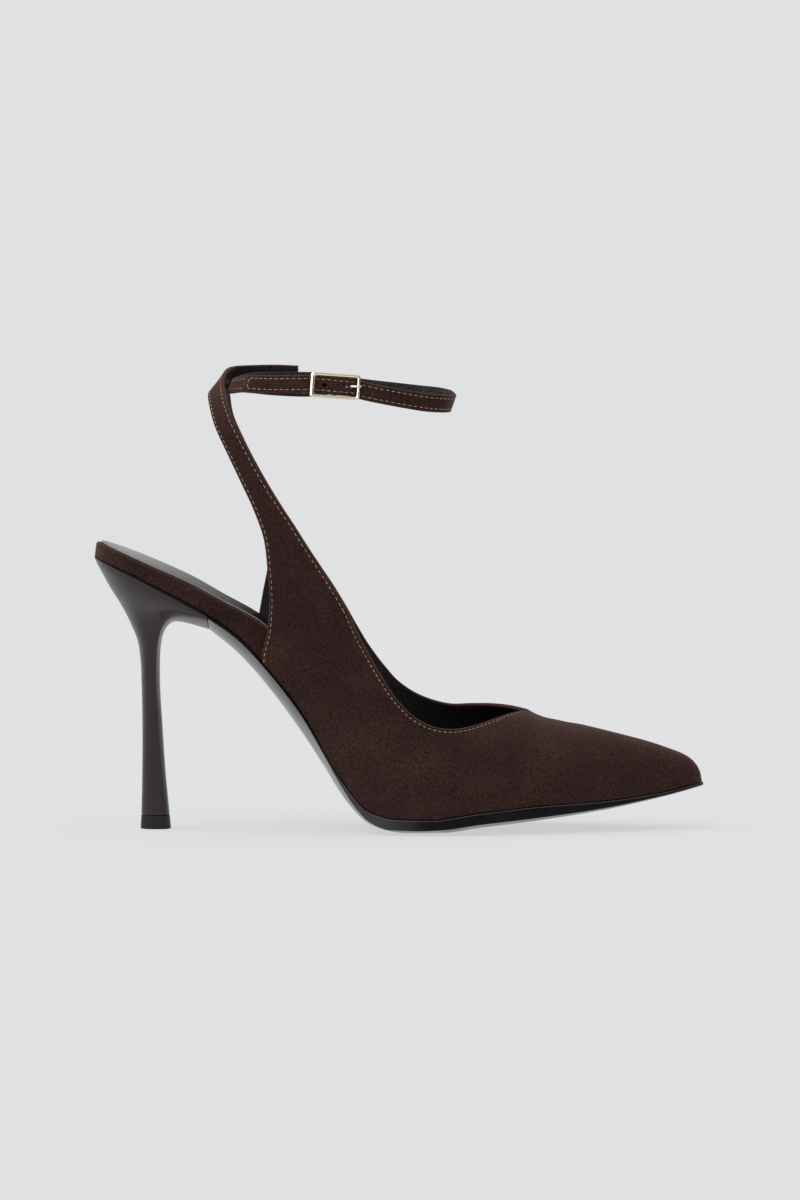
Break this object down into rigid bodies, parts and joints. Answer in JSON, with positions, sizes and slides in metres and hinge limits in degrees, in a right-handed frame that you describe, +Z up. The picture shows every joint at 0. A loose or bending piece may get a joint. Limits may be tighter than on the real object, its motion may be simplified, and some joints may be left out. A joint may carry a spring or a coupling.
{
  "type": "slingback pump",
  "caption": "High-heeled pointed slingback pump for the right foot, with a V-shaped throat, two slings and a buckled ankle strap.",
  "frame": {"origin": "middle of the shoe's length and width, on the floor it stands on", "axes": "+X towards the toe, -Y towards the outer side of the foot, +Z up"},
  "size_m": [0.2255, 0.0747, 0.1711],
  "materials": {
    "suede": "suede",
    "rim_suede": "suede",
    "sock_leather": "smooth satin",
    "sole": "satin",
    "heel_lacquer": "lacquered",
    "top_piece_rubber": "matte",
    "strap_suede": "suede",
    "buckle_metal": "polished",
    "prong_metal": "polished"
  },
  "bodies": {
    "root": {"upper": "suede", "insole": "rim_suede", "sock": "sock_leather", "outsole": "sole", "heel": "heel_lacquer", "top_piece": "top_piece_rubber", "ankle_strap": "strap_suede", "buckle_frame": "buckle_metal", "buckle_prong": "prong_metal"}
  },
  "joints": []
}
